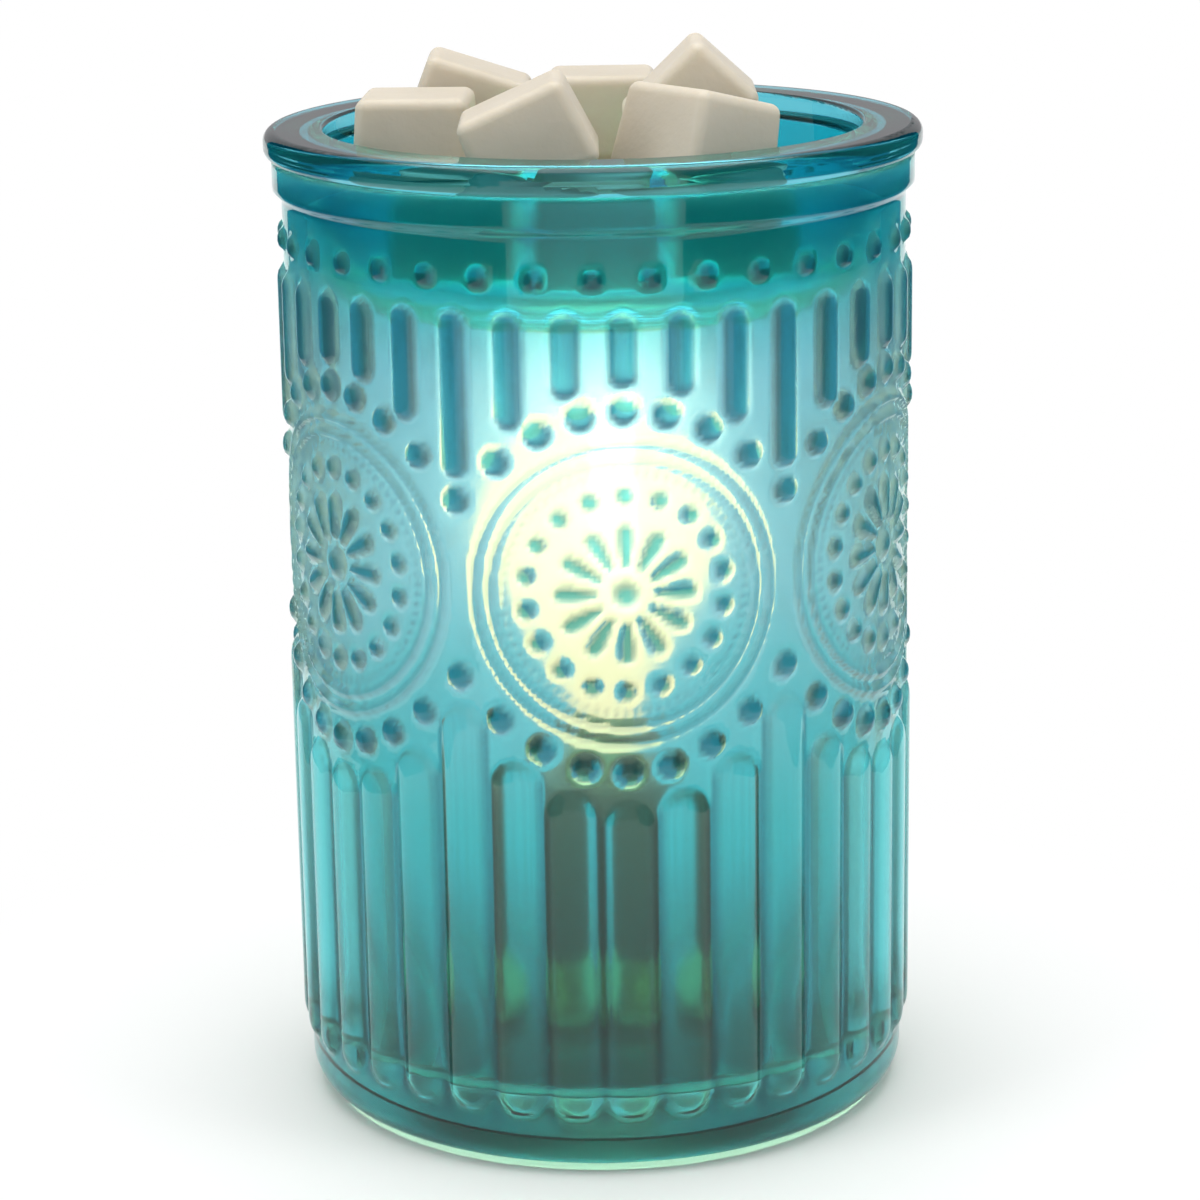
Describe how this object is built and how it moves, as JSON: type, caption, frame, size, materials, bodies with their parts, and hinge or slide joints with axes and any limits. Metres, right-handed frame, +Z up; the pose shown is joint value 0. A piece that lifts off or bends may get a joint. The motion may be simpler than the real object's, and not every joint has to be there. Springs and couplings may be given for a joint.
{
  "type": "electric wax warmer",
  "caption": "Teal pressed-glass wax warmer with daisy medallions, lit and heated by a small lamp inside, with ivory wax cubes in a glass dish on top.",
  "frame": {"origin": "middle of the footprint on the table", "axes": "+Z up along the jar's axis, front towards -Y, cord inlet at the back towards +Y"},
  "size_m": [0.12, 0.12, 0.1969],
  "materials": {
    "teal_glass": "clear teal pressed glass",
    "dish_glass": "clear teal-blue glass with a polished rim",
    "wax": "ivory wax, soft sheen; plastic stands in for wax",
    "bulb_glass": "frosted, lit",
    "clear_glass": "clear",
    "black_glass": "opaque black",
    "brass": "satin",
    "steel": "zinc plated",
    "filament_wire": "glowing wire",
    "dark_phenolic": "moulded, satin",
    "porcelain": "white, unglazed",
    "black_rubber": "matt",
    "cover_plastic": "fine grain"
  },
  "bodies": {
    "jar": {"glass_jar": "teal_glass", "rubber_feet": "black_rubber", "base_cover": "cover_plastic", "cord_grommet": "black_rubber", "lamp_pipe": "brass", "clamp_nut": "steel", "clamp_washer": "steel", "under_seal": "black_rubber", "floor_seal": "black_rubber", "base_flange": "brass", "flange_nut": "brass", "collar_nut": "brass", "holder_base": "dark_phenolic", "holder_locknut": "brass", "holder_shell": "dark_phenolic", "holder_core": "porcelain", "terminal_screws": "brass", "screw_shell": "brass", "centre_contact": "brass"},
    "dish": {"wax_dish": "dish_glass"},
    "wax": {"wax_melt_01": "wax", "wax_melt_02": "wax", "wax_melt_03": "wax", "wax_melt_04": "wax", "wax_melt_05": "wax", "wax_melt_06": "wax", "wax_melt_07": "wax", "wax_melt_08": "wax", "wax_melt_09": "wax", "wax_melt_10": "wax", "wax_melt_11": "wax", "wax_melt_12": "wax", "wax_melt_13": "wax"},
    "lamp_carrier": {"bulb_contact": "steel"},
    "lamp": {"bulb_insulator": "black_glass", "bulb_cap": "brass", "bulb_glass": "bulb_glass", "bulb_stem": "clear_glass", "bulb_leads": "steel", "bulb_filament": "filament_wire"}
  },
  "joints": [
    {"name": "dish_lift", "type": "slide", "parent": "jar", "child": "dish", "axis": [0, 0, 1], "range_m": [0, 0.08]},
    {"name": "wax_lift", "type": "slide", "parent": "dish", "child": "wax", "axis": [0, 0, 1], "range_m": [0, 0.05]},
    {"name": "lamp_rise", "type": "slide", "parent": "jar", "child": "lamp_carrier", "axis": [0, 0, 1], "range_m": [0, 0.01129]},
    {"name": "lamp_unscrew", "type": "hinge", "parent": "lamp_carrier", "child": "lamp", "pos_m": [0, 0, 0.06], "axis": [0, 0, 1], "range_deg": [0, 1440]}
  ],
  "couplings": [
    {"joint": "lamp_rise", "follows": "lamp_unscrew", "m_per_rad": 0.00044913}
  ]
}
